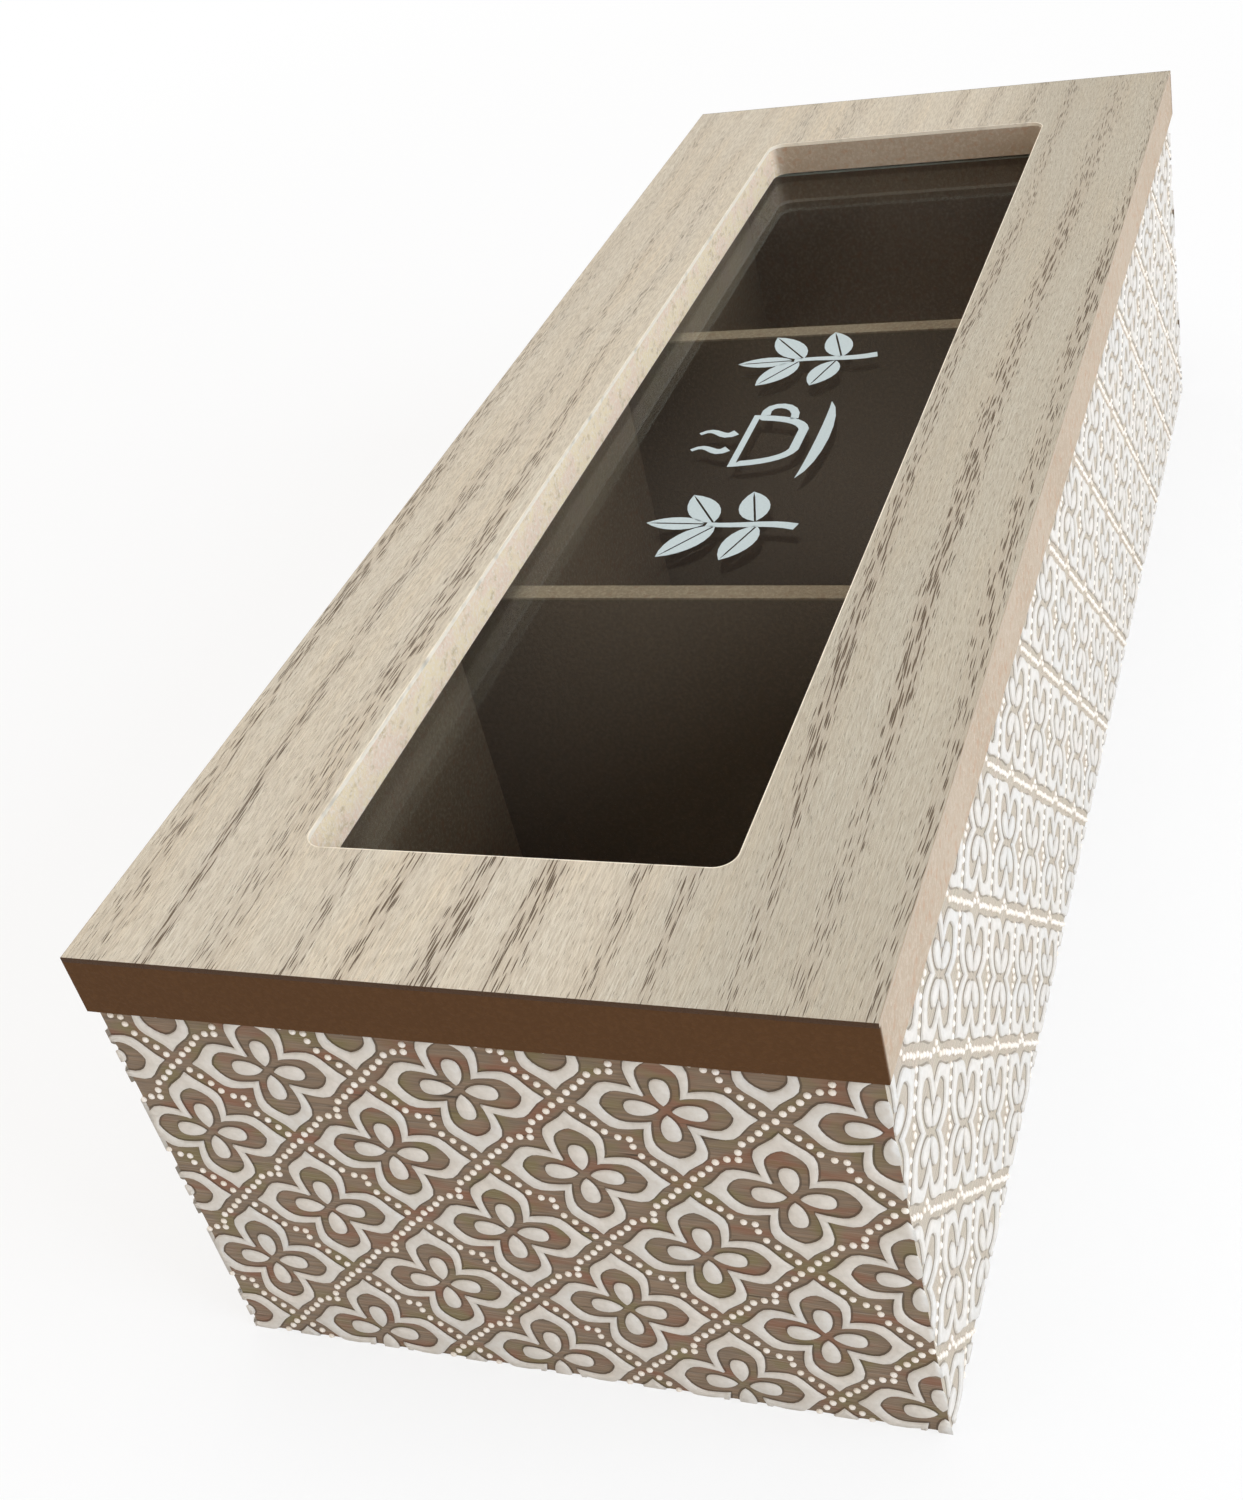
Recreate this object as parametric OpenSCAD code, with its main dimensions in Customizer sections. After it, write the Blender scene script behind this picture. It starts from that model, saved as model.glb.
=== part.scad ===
// Tea bag organizer box: a long mitred box with three square compartments and
// a framed glass lid on two small butt hinges. Units are millimetres.
// X runs along the length, the front is -Y, the hinges are at +Y, +Z is up.
// The origin is the centre of the flat underside.

/* [Overall] */
// Length of the lid, left to right
lid_l = 242; // [200:1:300]
// Depth of the lid, front to back
lid_w = 90; // [80:1:120]
// Height of the closed box, from the table to the top of the lid
box_h = 64; // [56:1:100]
// How far the lid stands out past the body on every side
overhang = 0.5; // [0.2:0.1:1.5]

/* [Body] */
// Thickness of the fibreboard core of each wall
core_t = 7.2; // [6:0.1:9]
// Thickness of the carved wood facing glued outside each wall
facing_t = 0.8; // [0.6:0.1:1.2]
// Thickness of the bottom board
bottom_t = 4; // [3:0.5:6]
// Width of the rebate that the bottom board sits in
bottom_rebate = 4; // [2:0.5:5]
// Thickness of each divider
divider_t = 3; // [2:0.5:4]
// Depth of the grooves that hold the dividers
groove_d = 3; // [1.5:0.5:4]
// How far the dividers stop below the rim
divider_drop = 0.8; // [0.3:0.1:5]

/* [Lid] */
// Thickness of the whole lid
lid_t = 8; // [7:0.5:12]
// Thickness of the wood veneer on top of the lid
veneer_t = 0.6; // [0.4:0.1:1]
// Width of the frame at the window's two ends
border = 20; // [16:0.5:28]
// Width of the frame along the window's two long sides
side_border = 19.7; // [16:0.1:28]
// Corner radius of the window
window_r = 2.5; // [1.5:0.5:8]
// Thickness of the glass
glass_t = 2; // [1.5:0.5:3]
// How far the glass reaches under the frame on every side
glass_lap = 3.5; // [2:0.5:6]
// Width of the glue bead round the glass
bead_w = 0.5; // [0.3:0.1:1]
// Thickness of the bead's lip under the glass
bead_lip_t = 0.3; // [0.2:0.1:0.5]

/* [Hinges] */
// Length of each hinge
hinge_l = 20; // [16:1:30]
// Distance of each hinge from the middle of the box
hinge_x = 75; // [50:1:85]
// Thickness of the hinge leaves
leaf_t = 0.8; // [0.6:0.1:1]
// Height of each leaf's flat plate
leaf_h = 5.2; // [4.8:0.1:5.2]
// Outer radius of the knuckles
barrel_r = 1.6; // [1.5:0.05:1.8]
// Radius of the hinge pin
pin_r = 0.75; // [0.6:0.05:0.8]

/* [Hidden] */
$fn = 48;
eps = 0.01;                                    // how far a cutter passes a face

// Body
body_l = lid_l - 2 * overhang;
body_w = lid_w - 2 * overhang;
body_h = box_h - lid_t;
wall_t = core_t + facing_t;
inner_l = body_l - 2 * wall_t;
inner_w = body_w - 2 * wall_t;
core_l = body_l - 2 * facing_t;
core_w = body_w - 2 * facing_t;
cell_l = (inner_l - 2 * divider_t) / 3;        // length of one compartment
divider_x = (cell_l + divider_t) / 2;          // middle of the right divider
divider_h = body_h - bottom_t - divider_drop;
groove_play = 0.1;                             // groove width past the divider's

// Lid
window_l = lid_l - 2 * border;
window_w = lid_w - 2 * side_border;
rebate_lap = glass_lap + bead_w;               // rebate width round the window
rebate_h = glass_t + bead_lip_t;
glass_r = 3;                                   // corner radius of the glass
bead_lip_w = 2;                                // bead's reach under the glass

// Hinges
barrel_gap = 0.3;                              // barrel to the wall behind it
knuckle_gap = 0.2;                             // between neighbouring knuckles
leaf_gap = 0.15;                               // leaf plate to the other's barrel
running_play = 0.05;                           // pin in the lid's knuckle
press_play = 0.01;                             // pin in the body's knuckles
hinge_y = body_w / 2 + barrel_gap + barrel_r;  // hinge axis
hinge_z = body_h;
leaf_start = barrel_r + leaf_gap;              // from the axis to the plate
knuckle_l = (hinge_l - 2 * knuckle_gap) / 3;
pin_head_r = 1.15;
pin_head_t = 0.5;
mortise_play = 0.2;                            // mortise past the hinge's ends
barrel_relief = 0.3;                           // mortise depth past the barrel

// Screws
screw_x = hinge_l * 0.3;                       // from the middle of the hinge
screw_h = leaf_start + leaf_h / 2;             // from the hinge axis
screw_l = 6;
screw_head_r = 1.55;
screw_core_r = 0.55;
screw_thread_r = 0.85;
screw_pitch = 0.8;
screw_tip = 1;
pilot_r = screw_thread_r + 0.02;
slot_w = 0.35;                                 // driver slots in the head
slot_d = 0.35;

// ---------- shapes that repeat ----------

// Rectangle with round corners, centred, in the XY plane.
module round_rect(l, w, r) {
    square([l - 2 * r, w], center = true);
    square([l, w - 2 * r], center = true);
    for (x = [-1, 1], y = [-1, 1])
        translate([x * (l / 2 - r), y * (w / 2 - r)]) circle(r);
}

// Board with 45 degree mitres at both ends. Its outer face is at y = 0 and
// it lies towards +Y.
module mitred_board(l, t, h) {
    linear_extrude(h)
        polygon([[-l / 2, 0], [l / 2, 0], [l / 2 - t, t], [-l / 2 + t, t]]);
}

// Groove across a long wall's inner face for one divider.
module divider_groove() {
    w = divider_t + groove_play;
    translate([-w / 2, core_t - groove_d, bottom_t])
        cube([w, groove_d + eps, body_h - bottom_t + eps]);
}

// Core of a wall: the mitred board less the rebate for the bottom board.
module wall_core(l) {
    difference() {
        mitred_board(l, core_t, body_h);
        translate([-l / 2, core_t - bottom_rebate, -eps])
            cube([l, bottom_rebate + eps, bottom_t + eps]);
    }
}

module long_wall_core() {
    difference() {
        wall_core(core_l);
        for (side = [-1, 1])
            translate([side * divider_x, 0, 0]) divider_groove();
    }
}

// Moves a board that lies along the front into place on one of four sides.
module on_front(depth) translate([0, -depth / 2, 0]) children();
module on_back(depth) rotate(180) translate([0, -depth / 2, 0]) children();
module on_left(length) rotate(-90) translate([0, -length / 2, 0]) children();
module on_right(length) rotate(90) translate([0, -length / 2, 0]) children();

// ---------- body ----------

module front_wall() {
    color("#7a5a42") on_front(core_w) long_wall_core();
}

module back_wall() {
    color("#7a5a42")
        difference() {
            on_back(core_w) long_wall_core();
            each_hinge() each_screw(-1) pilot_hole();
        }
}

module left_end_wall() {
    color("#7a5a42") on_left(core_l) wall_core(core_w);
}

module right_end_wall() {
    color("#7a5a42") on_right(core_l) wall_core(core_w);
}

module front_facing() {
    color("#cfc8bd") on_front(body_w) mitred_board(body_l, facing_t, body_h);
}

module back_facing() {
    color("#cfc8bd")
        difference() {
            on_back(body_w) mitred_board(body_l, facing_t, body_h);
            each_hinge() each_screw(-1) pilot_hole();
        }
}

module left_end_facing() {
    color("#cfc8bd") on_left(body_l) mitred_board(body_w, facing_t, body_h);
}

module right_end_facing() {
    color("#cfc8bd") on_right(body_l) mitred_board(body_w, facing_t, body_h);
}

module bottom_board() {
    color("#7a5a42")
        translate([-inner_l / 2 - bottom_rebate, -inner_w / 2 - bottom_rebate, 0])
            cube([inner_l + 2 * bottom_rebate, inner_w + 2 * bottom_rebate, bottom_t]);
}

module divider(side) {
    w = inner_w + 2 * groove_d;
    color("#8a6a50")
        translate([side * divider_x - divider_t / 2, -w / 2, bottom_t])
            cube([divider_t, w, divider_h]);
}

// ---------- lid ----------

module window_hole(h) {
    translate([0, 0, -eps])
        linear_extrude(h + 2 * eps) round_rect(window_l, window_w, window_r);
}

// Board under the veneer, with the window, the glass rebate on its underside
// and the hinge mortises in its back edge.
module lid_frame() {
    board_t = lid_t - veneer_t;
    color("#8c6a50")
        difference() {
            translate([0, 0, body_h])
                difference() {
                    translate([-lid_l / 2, -lid_w / 2, 0])
                        cube([lid_l, lid_w, board_t]);
                    window_hole(board_t);
                    translate([0, 0, -eps])
                        linear_extrude(rebate_h + eps)
                            round_rect(window_l + 2 * rebate_lap,
                                       window_w + 2 * rebate_lap,
                                       glass_r + bead_w);
                }
            each_hinge() {
                hinge_mortise();
                each_screw(1) pilot_hole();
            }
        }
}

module lid_veneer() {
    color("#cdbfa9")
        translate([0, 0, box_h - veneer_t])
            difference() {
                translate([-lid_l / 2, -lid_w / 2, 0]) cube([lid_l, lid_w, veneer_t]);
                window_hole(veneer_t);
            }
}

module glass_outline(grow = 0) {
    round_rect(window_l + 2 * (glass_lap + grow), window_w + 2 * (glass_lap + grow),
               glass_r + grow);
}

module glass_pane() {
    color("#9fb4b0", 0.4)
        translate([0, 0, body_h + bead_lip_t]) linear_extrude(glass_t) glass_outline();
}

// Clear glue that fills the gap round the glass, with a lip under its edge.
module glass_glue_bead() {
    color("#dcdcd2")
        translate([0, 0, body_h])
            difference() {
                linear_extrude(rebate_h) glass_outline(bead_w);
                translate([0, 0, bead_lip_t])
                    linear_extrude(glass_t + eps) glass_outline();
                translate([0, 0, -eps])
                    linear_extrude(bead_lip_t + 2 * eps) glass_outline(-bead_lip_w);
            }
}

// ---------- hinges ----------

// Puts its children, made round the origin along X, on each hinge axis.
module each_hinge() {
    for (side = [-1, 1]) at_hinge(side) children();
}

module at_hinge(side) {
    translate([side * hinge_x, hinge_y, hinge_z]) children();
}

// Puts its children on the two screw places of a leaf. They are drawn with
// the head's face at z = 0 and the shank towards -Z; up is 1 for the lid's leaf.
module each_screw(up) {
    for (x = [-1, 1])
        translate([x * screw_x, leaf_t - barrel_gap - barrel_r, up * screw_h])
            rotate([-90, 0, 0]) children();
}

// Tube along X from x0, with its bore.
module knuckle(x0, l, bore_r) {
    translate([x0, 0, 0])
        rotate([0, 90, 0])
            difference() {
                cylinder(r = barrel_r, h = l);
                translate([0, 0, -eps]) cylinder(r = bore_r, h = l + 2 * eps);
            }
}

// Strip that joins a knuckle to its leaf, on the wall side of the barrel.
module knuckle_tongue(x0, l, up, bore_r) {
    h = leaf_start + leaf_t;
    difference() {
        translate([x0, -barrel_r, up > 0 ? 0 : -h]) cube([l, leaf_t, h]);
        translate([x0 - eps, 0, 0])
            rotate([0, 90, 0]) cylinder(r = bore_r, h = l + 2 * eps);
    }
}

module leaf_plate(up) {
    difference() {
        translate([-hinge_l / 2, -barrel_gap - barrel_r,
                   up > 0 ? leaf_start : -leaf_start - leaf_h])
            cube([hinge_l, leaf_t, leaf_h]);
        each_screw(up) screw_clearance();
    }
}

// A leaf with its knuckles; places lists each knuckle's left end.
module hinge_leaf(up, places, bore_r) {
    leaf_plate(up);
    for (x0 = places) {
        knuckle(x0, knuckle_l, bore_r);
        knuckle_tongue(x0, knuckle_l, up, bore_r);
    }
}

module hinge_body_leaf(side) {
    color("#c9a24b") at_hinge(side)
        hinge_leaf(-1, [-hinge_l / 2, hinge_l / 2 - knuckle_l], pin_r + press_play);
}

module hinge_lid_leaf(side) {
    color("#c9a24b") at_hinge(side)
        hinge_leaf(1, [-knuckle_l / 2], pin_r + running_play);
}

module hinge_pin(side) {
    color("#b08d3e") at_hinge(side)
        rotate([0, 90, 0]) {
            cylinder(r = pin_r, h = hinge_l, center = true);
            for (end = [-1, 1])
                translate([0, 0, end * (hinge_l + pin_head_t) / 2])
                    cylinder(r = pin_head_r, h = pin_head_t, center = true);
        }
}

// Shallow recess in the lid's back edge that lets the leaf lie in line with
// the body's back, cut a little deeper beside the barrel.
module hinge_mortise() {
    l = hinge_l + 2 * (mortise_play + pin_head_t);
    y0 = -barrel_gap - barrel_r;
    depth = overhang + 1;
    translate([-l / 2, y0, -eps]) cube([l, depth, leaf_start + leaf_h + mortise_play]);
    translate([-l / 2, y0 - barrel_relief, -eps])
        cube([l, depth, leaf_start - leaf_gap + eps]);
}

// ---------- screws ----------

// Half outline of a countersunk wood screw: flat head, cone, ridged shank, tip.
function screw_outline() =
    let (shank_top = -screw_head_r + screw_core_r,
         ridges = floor((screw_l + shank_top - screw_tip) / screw_pitch))
    concat(
        [[0, 0], [screw_head_r, 0], [screw_core_r, shank_top]],
        [for (i = [0:ridges - 1], p = [0, 1])
            p == 0 ? [screw_thread_r, shank_top - (i + 0.5) * screw_pitch]
                   : [screw_core_r, shank_top - (i + 1) * screw_pitch]],
        [[0, -screw_l]]);

module screw() {
    difference() {
        rotate_extrude() polygon(screw_outline());
        for (turn = [0, 90])
            rotate(turn)
                translate([-screw_head_r * 0.6, -slot_w / 2, -slot_d])
                    cube([screw_head_r * 1.2, slot_w, slot_d + eps]);
    }
}

// Countersunk hole through a leaf.
module screw_clearance() {
    play = 0.03;
    translate([0, 0, eps])
        rotate_extrude()
            polygon([[0, 0], [screw_head_r + play + eps, 0],
                     [pilot_r, screw_core_r - screw_head_r - play],
                     [pilot_r, -leaf_t - 3 * eps], [0, -leaf_t - 3 * eps]]);
}

// Hole in the wood that the screw turns into.
module pilot_hole() {
    translate([0, 0, -screw_l - 0.3]) cylinder(r = pilot_r, h = screw_l + 0.3);
}

module hinge_body_screws() {
    color("#b9964a") each_hinge() each_screw(-1) screw();
}

module hinge_lid_screws() {
    color("#b9964a") each_hinge() each_screw(1) screw();
}

// ---------- nodes ----------

front_wall();
back_wall();
left_end_wall();
right_end_wall();
front_facing();
back_facing();
left_end_facing();
right_end_facing();
bottom_board();
divider(-1);  // left_divider
divider(1);  // right_divider
lid_frame();
lid_veneer();
glass_pane();
glass_glue_bead();
hinge_body_leaf(-1);  // left_hinge_body_leaf
hinge_lid_leaf(-1);  // left_hinge_lid_leaf
hinge_pin(-1);  // left_hinge_pin
hinge_body_leaf(1);  // right_hinge_body_leaf
hinge_lid_leaf(1);  // right_hinge_lid_leaf
hinge_pin(1);  // right_hinge_pin
hinge_body_screws();
hinge_lid_screws();
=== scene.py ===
# Tea bag organizer box: looks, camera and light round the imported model.
# Lengths are in metres; MM turns a maker's millimetres into them.
import math

import bmesh
import bpy
from mathutils import Matrix, Vector


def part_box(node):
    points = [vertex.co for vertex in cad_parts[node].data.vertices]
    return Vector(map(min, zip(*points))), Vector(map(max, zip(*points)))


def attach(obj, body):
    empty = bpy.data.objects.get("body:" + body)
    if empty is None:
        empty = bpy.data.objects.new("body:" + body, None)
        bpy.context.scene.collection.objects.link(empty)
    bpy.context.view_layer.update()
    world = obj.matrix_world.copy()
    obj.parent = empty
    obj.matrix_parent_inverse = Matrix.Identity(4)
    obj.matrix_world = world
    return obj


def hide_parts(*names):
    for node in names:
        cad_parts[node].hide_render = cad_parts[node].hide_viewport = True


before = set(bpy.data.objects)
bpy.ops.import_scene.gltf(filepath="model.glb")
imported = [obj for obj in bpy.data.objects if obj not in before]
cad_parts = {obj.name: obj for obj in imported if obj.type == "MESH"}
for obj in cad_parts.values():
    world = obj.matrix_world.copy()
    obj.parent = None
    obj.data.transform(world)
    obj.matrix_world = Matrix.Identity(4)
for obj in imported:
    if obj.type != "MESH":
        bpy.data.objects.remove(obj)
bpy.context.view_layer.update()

MM = 0.001

# ---------- sizes, in millimetres where no other unit is named ----------

LID = (242, 90)          # length and width of the lid
WINDOW = (202, 50.6)     # length and width of its window
WINDOW_CORNER = 2.5      # radius of the window's corners
SOFT_EDGES = {"lid_frame": 0.15, "lid_veneer": 0.1}  # rounding of sanded edges

RING_PITCH = 8.2         # distance between two rings of the veneer
RING_DRIFT = 9.0         # how far a ring's line wanders, in radians of its wave
# The veneer's pores: length and width of the cell that each one lies in.
FINE_PORE = (2.6, 0.34)
SHORT_PORE = (6.2, 0.31)
LONG_PORE = (13.0, 0.4)

RELIEF = 0.3             # how high the carving stands on the facing's ground
RELIEF_ROUND = 0.12      # rounding of the carving's upper edges
RELIEF_SEAT = 0.05       # how deep the carving's foot sits in the ground
FOOT_SPREAD = 0.5        # how far the carving's foot spreads as it goes down
FOOT_RISE = 0.05         # height of its foot, painted dark as shade, above the ground
# The side of the carving from its seat up, as outward reach and height above
# the ground. The first slope gets the painted shade of the foot, the rest the paint.
CARVED_SIDE = [(FOOT_SPREAD, -RELIEF_SEAT), (0, FOOT_RISE),
               (0, RELIEF - RELIEF_ROUND), (-RELIEF_ROUND, RELIEF)]

FLOWER_PITCH = (23.0, 22.65)
FLOWER_ROW = 25.8        # height of one row of flowers above the table
FLOWER_AT_LONG = -6.3    # one flower's place along a long side
FLOWER_AT_END = -2.15    # one flower's place along an end
FLOWER_REACH = 10        # how far a flower reaches from its middle
STRAND_REACH = 12.5      # how far a crossing's strands reach from it
# More half rows and columns than any facing needs; no motif is made that
# would miss the board.
HALF_ROWS = range(-8, 8)
COLUMNS = range(-14, 15)
CURVE_STEPS = 5          # straight pieces in each curve of the carving
SAME_PLACE = 0.001       # corners this near to each other are one

# Half of one lobe of the flower, as two curves that meet at its widest place.
# Each is from the notch between two lobes to the lobe's tip.
LOBE_INSIDE = [(1.95, 1.95), (2.75, 2.2), (3.9, 2.36), (4.8, 2.36),
               (6.0, 2.36), (7.0, 1.05), (7.2, 0)]
LOBE_OUTSIDE = [(2.92, 2.92), (3.8, 3.22), (4.9, 3.37), (5.8, 3.37),
                (7.45, 3.37), (7.8, 1.2), (9.65, 0)]
# Half of one petal, from its foot near the flower's middle to its tip.
PETAL_HALF = [(0.75, 0), (1.25, 0.66), (2.2, 1.04), (3.1, 1.04),
              (4.05, 1.04), (4.48, 0.7), (4.48, 0)]

BEAD_R = 0.44            # beads of the strands that rise to the right
SMALL_BEAD_R = 0.42      # beads of the strands that fall to the right
BEAD_SEGMENTS = 8
# A bead's side above its foot, as shares of its radius and of the relief.
BEAD_SIDE = [(0.93, 0.45), (0.6, 0.85)]
# Beads of one strand from a crossing to its cusp; the rest mirror them.
STRAND = [(0.95, 1.22), (1.98, 2.1), (3.0, 3.1), (3.9, 4.2), (5.25, 4.85)]
STRAND_CUSP = (6.5, 4.98)

PRINT_T = 0.03           # thickness of the ink on the glass
PRINT_MIDDLE = -0.4      # how far the print's middle is from the pane's
STROKE_STEPS = 8         # straight pieces along a printed stroke
CUP_WALL = 1.5           # width of the printed cup's line
VEIN = 0.3               # width of the bare vein in a printed leaf
LEAF_SWELL = 1.33        # how many times as far out as its bulge a curve's handles are
LEAF_HALF = 2.2          # half the width of a printed leaf
BUD_HALF = 1.6           # half the width of a printed bud

# Material slots of a carved facing; the ground between the carving is slot 0.
# Slot 1 is the painted shade, with some stain that gathers there, along the carving's foot.
SHADE_AND_STAIN_SLOT, PAINT_SLOT, CREAM_SLOT = 1, 2, 3

# ---------- small helpers ----------


def linear(hex_colour):
    """An sRGB hex colour as Blender's linear RGBA."""
    out = []
    for at in (1, 3, 5):
        c = int(hex_colour[at:at + 2], 16) / 255
        out.append(c / 12.92 if c <= 0.04045 else ((c + 0.055) / 1.055) ** 2.4)
    return (*out, 1.0)


def set_inputs(tree, node, inputs):
    """Gives a node's inputs their values, or their links where they're sockets."""
    for key, value in inputs.items():
        if isinstance(value, bpy.types.NodeSocket):
            tree.links.new(value, node.inputs[key])
        else:
            node.inputs[key].default_value = value


def add(tree, kind, inputs=None, **settings):
    """Adds one node with its settings, values and links."""
    new = tree.nodes.new(kind)
    for key, value in settings.items():
        setattr(new, key, value)
    set_inputs(tree, new, inputs or {})
    return new


def new_material(name):
    """An empty material and its Principled shader, already on the output."""
    material = bpy.data.materials.new(name)
    material.use_nodes = True
    tree = material.node_tree
    tree.nodes.clear()
    shader = add(tree, "ShaderNodeBsdfPrincipled")
    add(tree, "ShaderNodeOutputMaterial", {"Surface": shader.outputs["BSDF"]})
    return material, tree, shader


def mix_surfaces(tree, share, first, second):
    """Puts two shaders, mixed by a share, on the material's output."""
    mix = add(tree, "ShaderNodeMixShader",
              {0: share, 1: first.outputs[0], 2: second.outputs[0]})
    out = next(n for n in tree.nodes if n.type == "OUTPUT_MATERIAL")
    tree.links.new(mix.outputs[0], out.inputs["Surface"])


def maths(tree, operation, *values):
    """One sum on numbers and links."""
    return add(tree, "ShaderNodeMath", dict(enumerate(values)),
               operation=operation).outputs[0]


def vectors(tree, operation, *values):
    """One sum on places; a length or a dot product gives a number."""
    result = "Value" if operation in ("LENGTH", "DOT_PRODUCT") else "Vector"
    return add(tree, "ShaderNodeVectorMath", dict(enumerate(values)),
               operation=operation).outputs[result]


def axes(tree, where):
    """The X, Y and Z of a place."""
    return add(tree, "ShaderNodeSeparateXYZ", {0: where}).outputs


def ramp(tree, value, start, end, low=0.0, high=1.0, shape="LINEAR"):
    """Goes from low to high while a value goes from start to end."""
    return add(tree, "ShaderNodeMapRange",
               {"Value": value, "From Min": start, "From Max": end,
                "To Min": low, "To Max": high}, interpolation_type=shape).outputs[0]


def spots(tree, where, scale, low, high, detail=2.0, rough=0.5):
    """Soft noise with scale cells in each unit of where, stretched between
    two levels."""
    mapped = add(tree, "ShaderNodeMapping", {"Vector": where, "Scale": scale})
    noise = add(tree, "ShaderNodeTexNoise",
                {"Vector": mapped.outputs[0], "Scale": 1.0, "Detail": detail,
                 "Roughness": rough})
    return ramp(tree, noise.outputs["Fac"], low, high)


def blend(tree, share, first, second):
    """Mixes two colours; each is a hex value or a link."""
    first, second = (linear(c) if isinstance(c, str) else c for c in (first, second))
    return add(tree, "ShaderNodeMix", {0: share, 6: first, 7: second},
               data_type="RGBA").outputs[2]


def layered(tree, base, *layers):
    """Lays tones over a base colour, each by its share, one after the other."""
    for share, tone in layers:
        base = blend(tree, share, base, tone)
    return base


def bumps(tree, height, depth_mm, sunk=False):
    """Slopes of a surface that height raises by a depth, or sinks."""
    return add(tree, "ShaderNodeBump", {"Height": height, "Distance": depth_mm * MM},
               invert=sunk).outputs[0]


def object_mm(tree):
    """Places on the piece, in millimetres."""
    where = add(tree, "ShaderNodeTexCoord").outputs["Object"]
    return vectors(tree, "MULTIPLY", where, (1000, 1000, 1000))


def board_mm(tree):
    """Places along and up a facing, in millimetres, from its own map."""
    where = add(tree, "ShaderNodeUVMap", uv_map="board").outputs[0]
    return vectors(tree, "MULTIPLY", where, (1000, 1000, 1000))


# ---------- materials ----------


def beside_window(tree, where):
    """How far a place on the lid is from the window's edge, in millimetres."""
    corner = (WINDOW[0] / 2 - WINDOW_CORNER, WINDOW[1] / 2 - WINDOW_CORNER, 0)
    size = vectors(tree, "ABSOLUTE", vectors(tree, "MULTIPLY", where, (1, 1, 0)))
    outside = vectors(tree, "MAXIMUM", vectors(tree, "SUBTRACT", size, corner), (0, 0, 0))
    return maths(tree, "SUBTRACT", vectors(tree, "LENGTH", outside), WINDOW_CORNER)


def fibreboard_base(tree, where, clouds_pair, fleck_tone, rust_tone):
    """Fibreboard's colours: soft clouds with pale flecks and rusty fibres."""
    flecks = spots(tree, where, (1.7, 1.7, 1.7), 0.45, 0.66, 3.0, 0.7)
    clouds = spots(tree, where, (0.05, 0.05, 0.05), 0.35, 0.65)
    rust = spots(tree, where, (0.9, 0.9, 0.9), 0.54, 0.74)
    base = layered(tree, blend(tree, clouds, *clouds_pair),
                   (flecks, fleck_tone), (rust, rust_tone))
    return base, flecks


def sawn_fibreboard():
    """Medium density fibreboard, sawn and smoothed with sandpaper: matte beige
    brown with pale and rusty fibre flecks. Its end cuts are painted dark brown,
    partly the saw's darker cut and partly painted shade of the ends, which face
    away from the light; the walls cut by the router along the window's long
    sides are painted paler: painted light."""
    material, tree, shader = new_material("sawn fibreboard")
    where = object_mm(tree)
    base, flecks = fibreboard_base(tree, where, ("#b09c85", "#b7a48e"), "#bfad98",
                                   "#b4967c")
    along, across = (maths(tree, "ABSOLUTE", axes(tree, where)[axis])
                     for axis in ("X", "Y"))
    # Painted shade: the end cuts are painted dark brown, partly the saw's darker cut and
    # partly the shade of the ends.
    end_cut = ramp(tree, along, LID[0] / 2 - 0.7, LID[0] / 2 - 0.2)
    burnt_and_shaded = blend(tree, flecks, "#56381b", "#5c3d1f")
    # Painted light: the window's long walls are painted paler, as if lit.
    wall = ramp(tree, beside_window(tree, where), 0.4, 0.2)
    long_side = ramp(tree, across, WINDOW[1] / 2 - 1.0, WINDOW[1] / 2 - 0.1)
    rosy = spots(tree, where, (0.22, 0.3, 0.3), 0.42, 0.6)
    tan = spots(tree, where, (0.5, 0.8, 0.8), 0.54, 0.68, 3.0)
    lit_routed_walls = layered(tree, blend(tree, rosy, "#f4dfb8", "#f2d6bb"),
                     (tan, "#dac29b"), (flecks, "#f7e6d2"))
    base = layered(tree, base, (maths(tree, "MULTIPLY", wall, long_side), lit_routed_walls),
                   (end_cut, burnt_and_shaded))
    set_inputs(tree, shader, {"Base Color": base, "Roughness": 0.8,
                              "Specular IOR Level": 0.2,
                              "Normal": bumps(tree, flecks, 0.04)})
    return material


def divider_fibreboard():
    """The thin dividers' fibreboard: its faces are stained dark like the
    walls, and its sawn top edge is raw, a middle brown."""
    material, tree, shader = new_material("divider fibreboard")
    where = object_mm(tree)
    raw, flecks = fibreboard_base(tree, where, ("#8b705a", "#957963"), "#a58a72",
                                  "#8c6a52")
    stained = blend(tree, flecks, "#5f4836", "#6c5340")
    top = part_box("left_divider")[1][2] / MM
    top_edge = ramp(tree, axes(tree, where)["Z"], top - 0.4, top - 0.1)
    set_inputs(tree, shader, {"Base Color": blend(tree, top_edge, stained, raw),
                              "Roughness": 0.8, "Normal": bumps(tree, flecks, 0.05)})
    return material


def inner_fibreboard():
    """The walls and the bottom inside the box: the same board, stained a
    deep brown."""
    material, tree, shader = new_material("inner fibreboard")
    base, flecks = fibreboard_base(tree, object_mm(tree), ("#7c5f49", "#866851"),
                                   "#957760", "#855d45")
    set_inputs(tree, shader, {"Base Color": base, "Roughness": 0.8,
                              "Normal": bumps(tree, flecks, 0.05)})
    return material


def pores(tree, grain, cell, reach):
    """Long thin pores, one in each cell: 1 inside a pore. reach says how far
    a pore fills its cell."""
    scale = (1 / cell[0], 1 / cell[1], 1 / cell[1])
    cells = add(tree, "ShaderNodeMapping", {"Vector": grain, "Scale": scale})
    pore = add(tree, "ShaderNodeTexVoronoi", {"Vector": cells.outputs[0], "Scale": 1.0},
               voronoi_dimensions="2D")
    return ramp(tree, pore.outputs["Distance"], reach, maths(tree, "SUBTRACT", reach, 0.1))


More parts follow.
